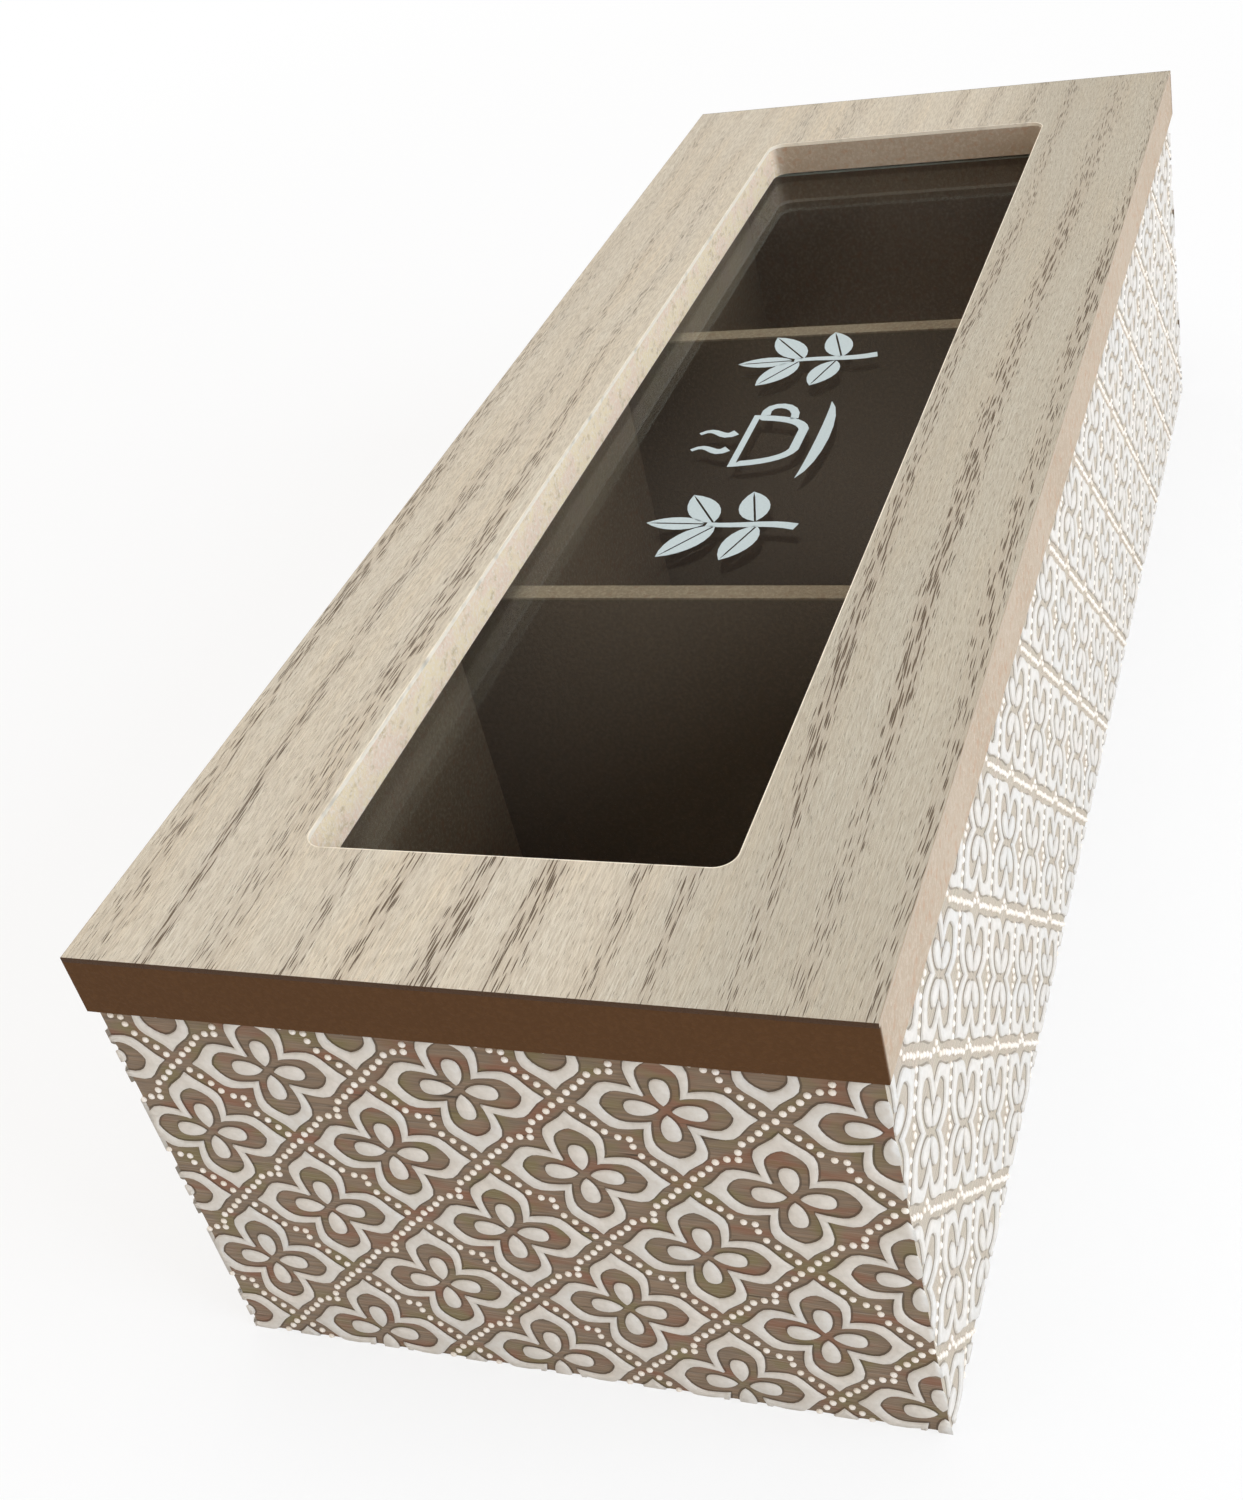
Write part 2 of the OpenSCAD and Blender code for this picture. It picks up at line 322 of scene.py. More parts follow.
def wandering_grain(tree, where):
    """Places in the veneer's grain, which runs along the board and wanders up
    to 4 mm across it."""
    wander = spots(tree, where, (0.008, 0.02, 0.02), 0.3, 0.7)
    shift = add(tree, "ShaderNodeCombineXYZ", {"Y": maths(tree, "MULTIPLY", wander, 4.0)})
    return vectors(tree, "ADD", where, shift.outputs[0])


def year_rings(tree, grain):
    """1 in the narrow porous line of each year's ring, which runs along the
    board, and 0 in the wider quiet wood between two lines."""
    drift = spots(tree, grain, (0.0035, 0.04, 0.04), 0.2, 0.8, 2.0, 0.55)
    turns = maths(tree, "MULTIPLY", axes(tree, grain)["Y"], 2 * math.pi / RING_PITCH)
    wave = maths(tree, "SINE", maths(tree, "MULTIPLY_ADD", drift, RING_DRIFT, turns))
    strength = spots(tree, grain, (0.016, 0.12, 0.1), 0.1, 0.62, 2.0)
    return maths(tree, "MULTIPLY", ramp(tree, wave, 0.1, 0.9), strength)


def pale_veneer():
    """Open-pored pale veneer, brushed and waxed: greige with fine fibre
    streaks, and dark dashes where the pores of each year's ring are cut. It
    is a little greyer along the front. A pale line round the window's edge is
    partly veneer rubbed pale by sandpaper and partly a painted highlight. Its
    outer cuts are darker, and at the two ends that is partly painted shade."""
    material, tree, shader = new_material("pale veneer")
    where = object_mm(tree)
    grain = wandering_grain(tree, where)
    # The pores grow fewer and fainter towards the back right corner.
    to_corner = vectors(tree, "DOT_PRODUCT", where, (1, 1.2, 0))
    open_share = ramp(tree, to_corner, -20, 110, 1.0, 0.55)
    rings = maths(tree, "MULTIPLY", year_rings(tree, grain), open_share)
    short, long = (maths(tree, "MULTIPLY_ADD", rings, in_ring, between)
                   for in_ring, between in ((0.22, 0.09), (0.2, 0.04)))
    dash = maths(tree, "MAXIMUM", pores(tree, grain, SHORT_PORE, short),
                 pores(tree, grain, LONG_PORE, long))
    dark_dash = maths(tree, "MULTIPLY", dash, open_share)
    fine_pore = maths(tree, "MULTIPLY", pores(tree, grain, FINE_PORE, 0.4), 0.25)
    crowded = maths(tree, "MULTIPLY", rings, 0.35)

    broad = spots(tree, grain, (0.004, 0.06, 0.05), 0.38, 0.62, 1.0)
    warm = spots(tree, grain, (0.03, 0.2, 0.2), 0.42, 0.62)
    streak = spots(tree, grain, (0.02, 1.3, 1.2), 0.38, 0.66, 3.0, 0.6)
    fibre = spots(tree, grain, (0.2, 4.5, 4.0), 0.35, 0.65, 3.0, 0.7)
    front = ramp(tree, axes(tree, grain)["Y"], -6, -28, 0.0, 0.45, "SMOOTHSTEP")
    # Painted highlight: a pale line round the window's edge, partly veneer rubbed pale by
    # sandpaper.
    sanded_and_highlit = maths(tree, "MULTIPLY", ramp(tree, beside_window(tree, where), 0.2, 0.08),
                   spots(tree, where, (0.3, 0.3, 0.3), 0.2, 0.45))
    # The end cuts are painted dark brown: partly the darker cut, partly painted shade.
    long_cut, end_cut = (
        maths(tree, "GREATER_THAN", maths(tree, "ABSOLUTE", axes(tree, where)[axis]), level)
        for axis, level in (("Y", LID[1] / 2 - 0.07), ("X", LID[0] / 2 - 0.1)))
    base = layered(tree, blend(tree, broad, "#dcd3c1", "#e1d8c4"),
                   (warm, "#dfcfb5"), (streak, "#d0c4b0"), (fibre, "#d1c5b0"),
                   (front, "#a59e8c"), (fine_pore, "#a08f79"), (crowded, "#b3a390"),
                   (dark_dash, "#6c5c49"), (sanded_and_highlit, "#fdf0da"),
                   (long_cut, "#b6a38d"), (end_cut, "#4a3018"))
    set_inputs(tree, shader, {
        "Base Color": base, "Roughness": 0.6, "Specular IOR Level": 0.25,
        "Normal": bumps(tree, maths(tree, "ADD", fibre, dash), 0.06, sunk=True)})
    return material


def ground_stain(tree, where, painted_light):
    """The ground's brown stain: grain along the board, rusty and olive
    patches, and fine dark cracks. The last argument paints it paler: painted light."""
    grain = spots(tree, where, (0.12, 2.2, 1.0), 0.35, 0.7, 3.0, 0.6)
    rusty = spots(tree, where, (0.11, 0.3, 1.0), 0.5, 0.66)
    olive = spots(tree, where, (0.16, 0.21, 1.0), 0.52, 0.66)
    crack = spots(tree, where, (0.1, 1.6, 1.0), 0.66, 0.74)
    # Painted light: a pale tone laid over the stain by the given share, on the long facings
    # only.
    base = layered(tree, blend(tree, grain, "#8a735c", "#6f5f4e"), (rusty, "#835b44"),
                   (olive, "#7a6c49"), (crack, "#463829"), (painted_light, "#c2b7a6"))
    return base, grain


# What limewash leaves on stained wood: little gloss, and a chalky bloom where
# it's seen at a low angle.
LIMEWASHED = {"Specular IOR Level": 0.25, "Sheen Weight": 0.9, "Sheen Roughness": 0.3,
              "Sheen Tint": linear("#fff4e2")}


def stained_ground(name, painted_light):
    """Brown-stained wood between the carved shapes, with a chalky bloom."""
    material, tree, shader = new_material(name)
    base, grain = ground_stain(tree, board_mm(tree), painted_light)
    set_inputs(tree, shader, {"Base Color": base, "Roughness": 0.6, **LIMEWASHED,
                              "Normal": bumps(tree, grain, 0.05)})
    return material


def foot_shade_and_stain(name, painted_light):
    """The same stain darkened along the carving's foot: painted shade, with
    some stain that gathers there.
    """
    material, tree, shader = new_material(name)
    base, _ = ground_stain(tree, board_mm(tree), painted_light)
    # Painted shade: the stain darkened by half towards a dark grey brown.
    set_inputs(tree, shader, {"Base Color": blend(tree, 0.5, base, "#38322b"),
                              "Roughness": 0.7, **LIMEWASHED})
    return material


def lime_paint():
    """Chalky lime paint rolled on the raised carving: matte off-white."""
    material, tree, shader = new_material("lime paint")
    where = board_mm(tree)
    chalk = spots(tree, where, (1.1, 1.1, 1.0), 0.35, 0.7, 3.0, 0.6)
    patches = spots(tree, where, (0.07, 0.09, 1.0), 0.4, 0.65)
    base = blend(tree, patches, "#dfd6ca", "#d9d4cc")
    set_inputs(tree, shader, {"Base Color": blend(tree, chalk, base, "#d2cabe"),
                              "Roughness": 0.6, "Normal": bumps(tree, chalk, 0.04)})
    return material


def two_tone(name, where_on, cell, low, high, tones, roughness):
    """A plain finish whose colour drifts softly between two tones."""
    material, tree, shader = new_material(name)
    drift = spots(tree, where_on(tree), cell, low, high)
    set_inputs(tree, shader, {"Base Color": blend(tree, drift, *tones),
                              "Roughness": roughness})
    return material


def cream_dots():
    """Thicker cream paint on the small beads: satin, a little yellow; their
    paleness is partly a painted highlight of warm light on the small domes.
    """
    return two_tone("cream dots", board_mm, (0.3, 0.3, 1.0), 0.35, 0.65,
                    ("#f4ebdf", "#efe3d2"), 0.5)


def screen_ink():
    """White enamel ink, screen printed on the glass: opaque, satin."""
    return two_tone("screen ink", object_mm, (3.0, 3.0, 3.0), 0.3, 0.75,
                    ("#c5d1d1", "#bac7c7"), 0.4)


def clear_glue():
    """Set clear glue: glossy, a little milky."""
    return two_tone("clear glue", object_mm, (0.6, 0.6, 0.6), 0.35, 0.7,
                    ("#d8d8cf", "#c6c6bc"), 0.25)


def float_glass():
    """Clear float glass, 2 mm: sharp, weak reflections and a faint green body."""
    material, tree, shader = new_material("float glass")
    set_inputs(tree, shader, {"Base Color": linear("#e6eeea"), "Roughness": 0.02,
                              "IOR": 1.25, "Transmission Weight": 1.0})
    # Light passes straight through, so the compartments aren't black.
    clear = add(tree, "ShaderNodeBsdfTransparent", {"Color": linear("#e9f0ee")})
    shadow = add(tree, "ShaderNodeLightPath").outputs["Is Shadow Ray"]
    mix_surfaces(tree, shadow, shader, clear)
    return material


def brass(name, clean, line_tone, tarnish_tone):
    """Satin brass with fine tool lines and a little brown tarnish."""
    material, tree, shader = new_material(name)
    where = object_mm(tree)
    lines = spots(tree, where, (0.25, 9.0, 9.0), 0.3, 0.7, 2.0)
    tarnish = spots(tree, where, (0.35, 0.35, 0.35), 0.5, 0.8, 3.0)
    set_inputs(tree, shader, {
        "Base Color": layered(tree, blend(tree, lines, clean, line_tone),
                              (tarnish, tarnish_tone)),
        "Metallic": 1.0, "Roughness": ramp(tree, tarnish, 0.0, 1.0, 0.25, 0.45),
        "Normal": bumps(tree, lines, 0.01)})
    return material


BOARD = sawn_fibreboard()
DIVIDER = divider_fibreboard()
INNER = inner_fibreboard()
VENEER = pale_veneer()
# The second material of each pair is the painted shade along the carving's foot.
END_GROUND = [stained_ground("stained ground", 0.0), foot_shade_and_stain("foot shade and stain", 0.0)]
# The long facings get a paler copy of the ends' ground: painted light.
LONG_GROUND = [stained_ground("ground painted lit", 0.72),
               foot_shade_and_stain("foot shade and stain painted lit", 0.72)]
PAINT = lime_paint()
CREAM = cream_dots()
GLASS = float_glass()
INK = screen_ink()
GLUE = clear_glue()
BRASS = brass("rolled brass", "#dcc08a", "#cfb279", "#b08f58")
SCREW_BRASS = brass("turned brass", "#c9b07e", "#b89d69", "#977a4c")

NODE_FINISH = {
    "front_wall": INNER, "back_wall": INNER, "left_end_wall": INNER,
    "right_end_wall": INNER, "bottom_board": INNER, "left_divider": DIVIDER,
    "right_divider": DIVIDER, "lid_frame": BOARD, "lid_veneer": VENEER,
    "glass_pane": GLASS, "glass_glue_bead": GLUE,
    "left_hinge_body_leaf": BRASS, "left_hinge_lid_leaf": BRASS,
    "left_hinge_pin": BRASS, "right_hinge_body_leaf": BRASS,
    "right_hinge_lid_leaf": BRASS, "right_hinge_pin": BRASS,
    "hinge_body_screws": SCREW_BRASS, "hinge_lid_screws": SCREW_BRASS,
}

for node_name, finish in NODE_FINISH.items():
    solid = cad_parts[node_name].data
    solid.materials.clear()
    solid.materials.append(finish)

# ---------- carved facings ----------


def curve_points(points, steps):
    """Points along a run of cubic curves that share their ends."""
    out = []
    for first in range(0, len(points) - 1, 3):
        a, b, c, d = (Vector(p) for p in points[first:first + 4])
        for i in range(steps):
            t = i / steps
            out.append(a * (1 - t) ** 3 + b * 3 * t * (1 - t) ** 2
                       + c * 3 * t * t * (1 - t) + d * t ** 3)
    out.append(Vector(points[-1]))
    return out


def four_lobes(half_lobe):
    """A closed outline of four lobes from the curve of half a lobe."""
    half = curve_points(half_lobe, CURVE_STEPS)
    quarter = half[::-1] + [p.yx for p in half[1:-1]]
    return [Matrix.Rotation(k * math.pi / 2, 2) @ p for k in range(4) for p in quarter]


def swollen(outline, grow):
    """A closed outline moved outward by grow, or inward where it's negative."""
    out = []
    for i, here in enumerate(outline):
        before, after = outline[i - 1], outline[(i + 1) % len(outline)]
        tangent = (here - before).normalized() + (after - here).normalized()
        out.append(here + Vector((tangent.y, -tangent.x)).normalized() * grow)
    return out


def board_place(point, height=0):
    """An (along, up) point at a height above the panel's ground, in metres."""
    return (point[0] * MM, -height * MM, point[1] * MM)


def edges_round(bm, corners):
    """The edges round a closed ring of corners, made where there are none."""
    pairs = [(corners[i - 1], corners[i]) for i in range(len(corners))]
    return [bm.edges.get(pair) or bm.edges.new(pair) for pair in pairs]


def loop_of_edges(bm, outline):
    """A closed loop of edges in the panel's plane, from (along, up) points."""
    return edges_round(bm, [bm.verts.new(board_place(p)) for p in outline])


def raise_through(bm, levels, stained):
    """Carries the first outline through the others, each at its height. The
    steps numbered in stained get the painted shade of the carving's foot, with
    some stain that gathers there, and the others the paint. Returns the first
    and the last ring of corners."""
    first = [bm.verts.new(board_place(p, levels[0][1])) for p in levels[0][0]]
    corners = first
    for step, (outline, height) in enumerate(levels[1:]):
        grown = bmesh.ops.extrude_edge_only(bm, edges=edges_round(bm, corners))["geom"]
        fresh = {g for g in grown if isinstance(g, bmesh.types.BMVert)}
        corners = [next(e.other_vert(v) for e in v.link_edges if e.other_vert(v) in fresh)
                   for v in corners]
        for corner, point in zip(corners, outline):
            corner.co = board_place(point, height)
        for f in grown:
            if isinstance(f, bmesh.types.BMFace):
                f.material_index = SHADE_AND_STAIN_SLOT if step in stained else PAINT_SLOT
    return first, corners


def flower():
    """One carved flower: four petals in a pointed four-lobed frame."""
    bm = bmesh.new()
    outside, inside = four_lobes(LOBE_OUTSIDE), four_lobes(LOBE_INSIDE)
    frame_levels = [(swollen(outside, grow), height) for grow, height in CARVED_SIDE]
    frame_levels += [(swollen(inside, -grow), height) for grow, height in CARVED_SIDE[::-1]]
    frame_levels.append(frame_levels[0])
    raise_through(bm, frame_levels, (0, len(frame_levels) - 3))
    bmesh.ops.remove_doubles(bm, verts=bm.verts, dist=SAME_PLACE * MM)
    half = curve_points(PETAL_HALF, CURVE_STEPS)
    petal = half[:-1] + [Vector((p.x, -p.y)) for p in half[:0:-1]]
    for k in range(4):
        outline = [Matrix.Rotation(k * math.pi / 2, 2) @ p for p in petal]
        levels = [(swollen(outline, -grow), height) for grow, height in CARVED_SIDE]
        for corners in raise_through(bm, levels, (0,)):
            cap = bmesh.ops.contextual_create(bm, geom=edges_round(bm, corners))["faces"]
            for f in cap:
                f.material_index = PAINT_SLOT
    return bm


def bead(radius):
    """One low round bead in cream paint."""
    bm = bmesh.new()
    profile = [(radius, -RELIEF_SEAT)]
    profile += [(radius * out, RELIEF * up) for out, up in BEAD_SIDE]
    verts = [bm.verts.new((out * MM, -up * MM, 0)) for out, up in profile]
    verts.append(bm.verts.new((0, -RELIEF * MM, 0)))
    edges = [bm.edges.new(pair) for pair in zip(verts, verts[1:])]
    bmesh.ops.spin(bm, geom=verts + edges, cent=(0, 0, 0), axis=(0, 1, 0),
                   steps=BEAD_SEGMENTS, angle=2 * math.pi, use_merge=True)
    bmesh.ops.remove_doubles(bm, verts=bm.verts, dist=0.01 * MM)
    bmesh.ops.holes_fill(bm, edges=bm.edges, sides=0)
    for f in bm.faces:
        f.material_index = CREAM_SLOT
    return bm


def repeat(bm, places):
    """Copies the whole mesh to each (along, up) place and drops the first."""
    first = bm.verts[:] + bm.edges[:] + bm.faces[:]
    old = [g for g in first if isinstance(g, bmesh.types.BMVert)]
    for along, up in places:
        copy = bmesh.ops.duplicate(bm, geom=first)["geom"]
        bmesh.ops.translate(bm, vec=(along * MM, 0, up * MM),
                            verts=[g for g in copy if isinstance(g, bmesh.types.BMVert)])
    bmesh.ops.delete(bm, geom=old, context="VERTS")


def crossing_beads():
    """The bead at a crossing and the two strands that leave it to the right;
    the beads of the falling one are smaller."""
    half_along, half_up = FLOWER_PITCH[0] / 2, FLOWER_PITCH[1] / 2
    strand = STRAND + [STRAND_CUSP]
    strand += [(half_along - up, half_up - along) for along, up in STRAND[::-1]]
    rising = bead(BEAD_R)
    repeat(rising, [(0, 0)] + strand)
    falling = bead(SMALL_BEAD_R)
    repeat(falling, [(along, -up) for along, up in strand])
    join_in(rising, falling)
    return rising


def lattice(at, length, height, reach, shift):
    """Places of a centred lattice whose motifs touch the board. shift moves
    the lattice by half a pitch along the board, from flowers to crossings."""
    out = []
    for half_row in HALF_ROWS:
        up = FLOWER_ROW + half_row * FLOWER_PITCH[1] / 2
        offset = at + FLOWER_PITCH[0] / 2 * ((half_row + shift) % 2)
        for column in COLUMNS:
            along = offset + column * FLOWER_PITCH[0]
            if abs(along) < length / 2 + reach and -reach < up < height + reach:
                out.append((along, up))
    return out


def cut_off(bm, place, outward):
    """Cuts away what lies past a plane and closes the cut solids."""
    geom = bm.verts[:] + bm.edges[:] + bm.faces[:]
    cut = bmesh.ops.bisect_plane(bm, geom=geom, plane_co=place, plane_no=outward,
                                 dist=SAME_PLACE * MM, clear_outer=True)["geom_cut"]
    edges = [g for g in cut if isinstance(g, bmesh.types.BMEdge)]
    if edges:
        bmesh.ops.holes_fill(bm, edges=edges, sides=0)


def trim_to_board(bm, length, height, face):
    """Mitres both ends and cuts the top and the bottom."""
    for side in (-1, 1):
        cut_off(bm, (side * length / 2, face, 0), (side, 1, 0))
    cut_off(bm, (0, 0, 0), (0, 0, -1))
    cut_off(bm, (0, 0, height), (0, 0, 1))


def join_in(bm, part):
    """Adds one mesh to another."""
    spare = bpy.data.meshes.new("spare")
    part.to_mesh(spare)
    part.free()
    bm.from_mesh(spare)
    bpy.data.meshes.remove(spare)


def new_piece(name, bm, materials, body):
    """Makes the finished mesh an object that rides on a body."""
    mesh = bpy.data.meshes.new(name)
    bm.to_mesh(mesh)
    bm.free()
    for material in materials:
        mesh.materials.append(material)
    piece = bpy.data.objects.new(name, mesh)
    bpy.context.scene.collection.objects.link(piece)
    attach(piece, body)
    return piece


def carved_facing(name, node, quarter_turns, at, grounds):
    """A facing with its carving, made as the front one and then turned by
    quarter turns. at is one flower's place along it."""
    low, high = (Vector(c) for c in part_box(node))
    size = high - low
    length, thick = max(size.x, size.y), min(size.x, size.y)
    height = size.z
    outer = max(abs(c) for c in ((low.y, high.y) if size.x > size.y
                                 else (low.x, high.x)))
    ground = outer - RELIEF * MM
    bm = bmesh.new()
    board = bmesh.new()
    bmesh.ops.create_cube(board, size=1)
    bmesh.ops.scale(board, vec=(length, thick - RELIEF * MM, height), verts=board.verts)
    middle = -(outer - thick + ground) / 2
    bmesh.ops.translate(board, vec=(0, middle, height / 2), verts=board.verts)
    trim_to_board(board, length, height, -outer)
    join_in(bm, board)
    length_mm, height_mm = length / MM, height / MM
    for motif, reach, shift in ((flower(), FLOWER_REACH, 0),
                                (crossing_beads(), STRAND_REACH, 1)):
        repeat(motif, lattice(at, length_mm, height_mm, reach, shift))
        bmesh.ops.translate(motif, vec=(0, -ground, 0), verts=motif.verts)
        trim_to_board(motif, length, height, -outer)
        join_in(bm, motif)
    bmesh.ops.recalc_face_normals(bm, faces=bm.faces)
    board_map = bm.loops.layers.uv.new("board")
    for f in bm.faces:
        f.smooth = f.material_index in (PAINT_SLOT, CREAM_SLOT)
        for corner in f.loops:
            corner[board_map].uv = corner.vert.co.xz
    bmesh.ops.rotate(bm, cent=(0, 0, 0), verts=bm.verts,
                     matrix=Matrix.Rotation(quarter_turns * math.pi / 2, 3, "Z"))
    piece = new_piece(name, bm, [*grounds, PAINT, CREAM], "box")
    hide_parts(node)


carved_facing("front_carved_facing", "front_facing", 0, FLOWER_AT_LONG, LONG_GROUND)
carved_facing("right_end_carved_facing", "right_end_facing", 1, FLOWER_AT_END, END_GROUND)
carved_facing("back_carved_facing", "back_facing", 2, FLOWER_AT_LONG, LONG_GROUND)
carved_facing("left_end_carved_facing", "left_end_facing", 3, FLOWER_AT_END, END_GROUND)

# ---------- the print on the glass ----------


def ink_patch(bm, outline):
    """A flat patch of ink inside a closed outline."""
    edges = loop_of_edges(bm, outline)
    bmesh.ops.contextual_create(bm, geom=edges)


def ink_stroke(bm, curve, widths):
    """A stroke of ink along a curve, from one width to another."""
    line = curve_points(curve, STROKE_STEPS)
    sides = ([], [])
    for i, here in enumerate(line):
        way = (line[min(i + 1, len(line) - 1)] - line[max(i - 1, 0)]).normalized()
        share = i / (len(line) - 1)
        half = (widths[0] * (1 - share) + widths[1] * share) / 2
        across = Vector((-way.y, way.x)) * half
        sides[0].append(here + across)
        sides[1].append(here - across)
    ink_patch(bm, sides[0] + sides[1][::-1])


def leaf(bm, foot, tip, half_width):
    """A pointed leaf in two halves with a bare vein between them."""
    foot, tip = Vector(foot), Vector(tip)
    way = tip - foot
    for side in (-1, 1):
        across = Vector((-way.y, way.x)).normalized() * side
        vein = across * VEIN / 2
        bulge = across * half_width * LEAF_SWELL
        outer = curve_points([foot + vein, foot + way * 0.2 + bulge,
                              foot + way * 0.7 + bulge, tip], STROKE_STEPS)
        ink_patch(bm, outer + [foot + way * 0.8 + vein])


def tea_sprig(bm):
    """Two pairs of leaves and a bud on a stem."""
    ink_stroke(bm, [(-0.6, -11.0), (0.9, -6.8), (-0.5, -2.7), (0.3, 2.0)], (1.6, 1.0))
    leaf(bm, (0.4, 2.4), (0.9, 11.0), BUD_HALF)
    for foot, tip in (((-0.2, 0.7), (-7.9, 6.9)), ((0.8, 1.2), (8.2, 6.2)),
                      ((-0.3, -5.4), (-8.8, -2.4)), ((1.0, -4.8), (8.8, -2.5))):
        leaf(bm, foot, tip, LEAF_HALF)


def tea_cup(bm):
    """A cup in outline on its saucer, with two wisps of steam."""
    side = curve_points([(3.1, -5.9), (6.3, -5.0), (7.3, -1.0), (7.6, 3.6)],
                        STROKE_STEPS)
    outline = side + [Vector((-p.x, p.y)) for p in side[::-1]]
    outer = loop_of_edges(bm, outline)
    inner = loop_of_edges(bm, swollen(outline, -CUP_WALL))
    bmesh.ops.bridge_loops(bm, edges=outer + inner)
    ink_stroke(bm, [(7.5, 1.9), (11.6, 2.9), (11.2, -2.9), (6.2, -2.9)], (1.5, 1.2))
    saucer = [(-11.2, -7.4), (-7, -7.9), (7, -7.9), (11.2, -7.4), (7.5, -10.4),
              (-7.5, -10.4), (-11.2, -7.4)]
    ink_patch(bm, curve_points(saucer, STROKE_STEPS)[:-1])
    for x in (-2.3, 2.5):
        ink_stroke(bm, [(x, 5.0), (x - 2.6, 7.0), (x + 2.4, 8.2), (x - 0.2, 10.6)],
                   (1.6, 0.7))


def printed_motif():
    """Screen-printed ink on the glass: a cup between two tea sprigs, upright
    for someone in front of the box."""
    bm = bmesh.new()
    for draw, along, mirrored in ((tea_sprig, -25.0, False), (tea_cup, -1.5, False),
                                  (tea_sprig, 23.8, True)):
        part = bmesh.new()
        draw(part)
        if mirrored:
            bmesh.ops.scale(part, vec=(-1, 1, 1), verts=part.verts)
        bmesh.ops.translate(part, vec=(along * MM, 0, PRINT_MIDDLE * MM), verts=part.verts)
        join_in(bm, part)
    grown = bmesh.ops.extrude_face_region(bm, geom=bm.faces[:])["geom"]
    bmesh.ops.translate(bm, vec=(0, -PRINT_T * MM, 0),
                        verts=[g for g in grown if isinstance(g, bmesh.types.BMVert)])
    bmesh.ops.recalc_face_normals(bm, faces=bm.faces)
    bmesh.ops.rotate(bm, cent=(0, 0, 0), verts=bm.verts,
                     matrix=Matrix.Rotation(-math.pi / 2, 3, "X"))
    glass_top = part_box("glass_pane")[1][2]
    bmesh.ops.translate(bm, vec=(0, 0, glass_top), verts=bm.verts)
    new_piece("printed_motif", bm, [INK], "lid")


printed_motif()

# ---------- softened edges on the solids ----------

for node_name, width in SOFT_EDGES.items():
    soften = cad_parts[node_name].modifiers.new("softened edges", "BEVEL")
    soften.width = width * MM
    soften.segments = 2
    soften.limit_method = "ANGLE"
    soften.angle_limit = math.radians(50)

# ---------- floor, light and camera ----------

BOX_MIDDLE = Vector((0, 0, 0.03))
FLOOR_REACH = 6              # metres from the box's middle to the floor's edges
PICTURE_PX = (1243, 1500)    # width and height of the rendered picture
LENS_PX = 1955.7             # focal length, in the picture's pixels
LENS_AXIS_PX = 660           # where the lens axis meets the picture, from its left
CAMERA_PLACE = Vector((-0.24137, -0.08928, 0.18992))
CAMERA_RIGHT = Vector((0.300228, -0.933044, -0.19822))
CAMERA_UP = Vector((0.611001, 0.028535, 0.791115))
CAMERA_BACK = Vector((-0.732489, -0.358628, 0.578659))


def seen_rays(tree):
    """1 for the rays that show a background: camera, gloss and glass."""
    path = add(tree, "ShaderNodeLightPath").outputs
    both = maths(tree, "MAXIMUM", path["Is Camera Ray"], path["Is Glossy Ray"])
    return maths(tree, "MAXIMUM", both, path["Is Transmission Ray"])


def pale_floor():
    """A matte white floor that fades to plain white away from the box and
    keeps a faint shadow beside it."""
    mesh = bpy.data.meshes.new("floor")
    bm = bmesh.new()
    bmesh.ops.create_grid(bm, x_segments=1, y_segments=1, size=FLOOR_REACH)
    bm.to_mesh(mesh)
    bm.free()
    floor = bpy.data.objects.new("floor", mesh)
    bpy.context.scene.collection.objects.link(floor)
    material, tree, shader = new_material("pale floor")
    set_inputs(tree, shader, {"Base Color": linear("#f1f1f0"), "Roughness": 0.9,
                              "Specular IOR Level": 0.1})
    away = vectors(tree, "LENGTH", add(tree, "ShaderNodeTexCoord").outputs["Object"])
    # The floor's own shade shows most by the box, and not at all past 0.6 m.
    fade = ramp(tree, away, 0.16, 0.6, 0.72, 1.0, "SMOOTHSTEP")
    white = add(tree, "ShaderNodeEmission", {"Color": linear("#ffffff")})
    mix_surfaces(tree, maths(tree, "MULTIPLY", fade, seen_rays(tree)), shader, white)
    mesh.materials.append(material)


def soft_light(name, place, size, watts, colour):
    """A square softbox that faces the middle of the box."""
    lamp = bpy.data.lights.new(name, "AREA")
    lamp.shape = "SQUARE"
    lamp.size = size
    lamp.energy = watts
    lamp.color = linear(colour)[:3]
    light = bpy.data.objects.new(name, lamp)
    light.location = place
    aim = BOX_MIDDLE - Vector(place)
    light.rotation_euler = aim.to_track_quat("-Z", "Y").to_euler()
    bpy.context.scene.collection.objects.link(light)


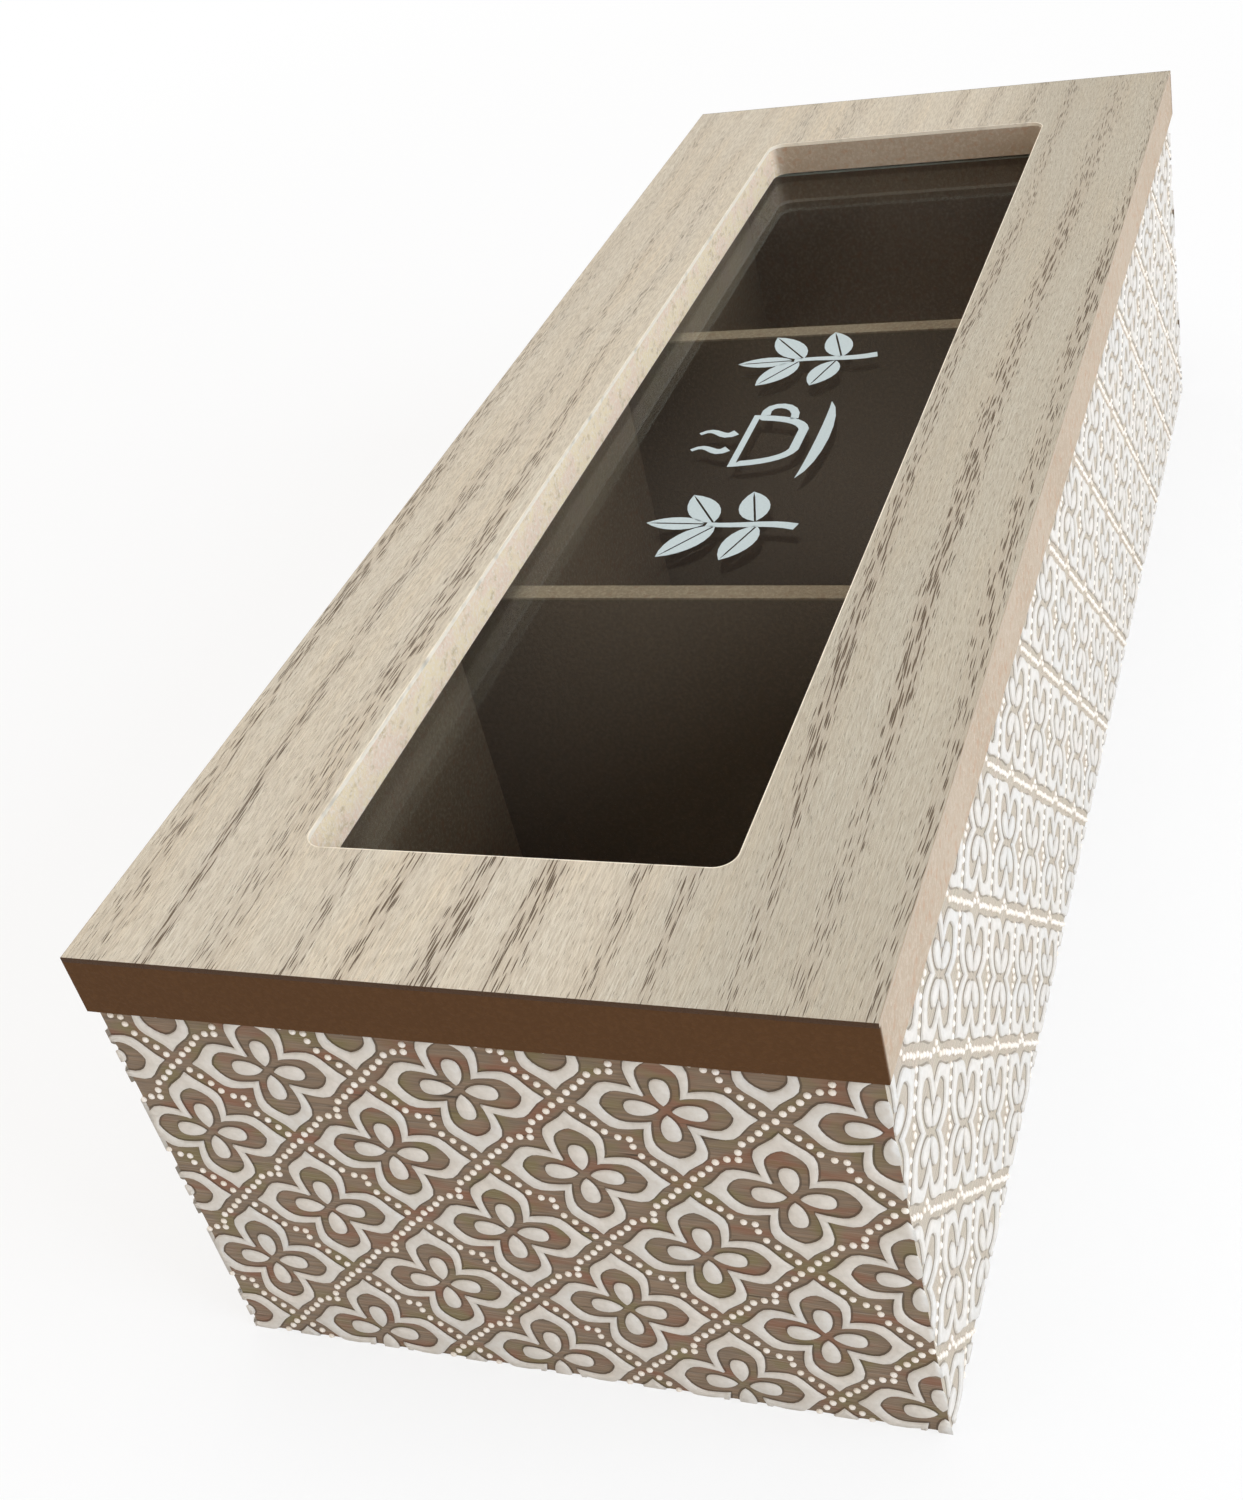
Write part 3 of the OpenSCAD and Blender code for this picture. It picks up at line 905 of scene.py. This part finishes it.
def studio_world():
    """A white studio wall at the horizon, a dim, uneven and warm ceiling above
    it and one broad soft light overhead. Heights go from 0 at the horizon to
    1 straight up."""
    world = bpy.data.worlds.new("studio")
    world.use_nodes = True
    tree = world.node_tree
    tree.nodes.clear()
    aim = add(tree, "ShaderNodeTexCoord").outputs["Generated"]
    height = axes(tree, aim)["Z"]
    wall = ramp(tree, height, 0.18, 0.42, 1.0, 0.0, "SMOOTHSTEP")
    uneven = spots(tree, aim, (2.6, 2.6, 4.5), 0.42, 0.72, 1.0)
    ceiling = maths(tree, "MULTIPLY_ADD", uneven, 0.6, 0.1)
    overhead = ramp(tree, height, 0.62, 0.85, 0.0, 1.05, "SMOOTHSTEP")
    level = maths(tree, "ADD", maths(tree, "MAXIMUM", wall, ceiling), overhead)
    white = maths(tree, "MAXIMUM", wall, overhead)
    # Past the floor the camera sees plain white, whatever lights the box.
    seen = add(tree, "ShaderNodeLightPath").outputs["Is Camera Ray"]
    level, white = (maths(tree, "MAXIMUM", part, seen) for part in (level, white))
    tint = blend(tree, white, "#fbe6d2", "#ffffff")
    soft = add(tree, "ShaderNodeBackground", {"Color": tint, "Strength": level})
    add(tree, "ShaderNodeOutputWorld", {"Surface": soft.outputs[0]})
    bpy.context.scene.world = world


def set_camera():
    """Stands before the left end, above and to its front, a little wide."""
    data = bpy.data.cameras.new("camera")
    data.sensor_width = 36
    data.lens = LENS_PX / PICTURE_PX[1] * data.sensor_width
    data.shift_x = (PICTURE_PX[0] / 2 - LENS_AXIS_PX) / PICTURE_PX[1]
    data.clip_start = 0.01
    camera = bpy.data.objects.new("camera", data)
    turn = Matrix((CAMERA_RIGHT, CAMERA_UP, CAMERA_BACK)).transposed().to_4x4()
    camera.matrix_world = Matrix.Translation(CAMERA_PLACE) @ turn
    bpy.context.scene.collection.objects.link(camera)
    bpy.context.scene.camera = camera


pale_floor()
studio_world()
soft_light("front softbox", place=(-0.2, -1.3, 0.5), size=1.0, watts=15.8,
           colour="#d9eaff")
soft_light("top softbox", place=(0.1, 0.3, 1.4), size=1.2, watts=3.4,
           colour="#ffffff")
set_camera()
bpy.context.scene.view_settings.view_transform = "Standard"
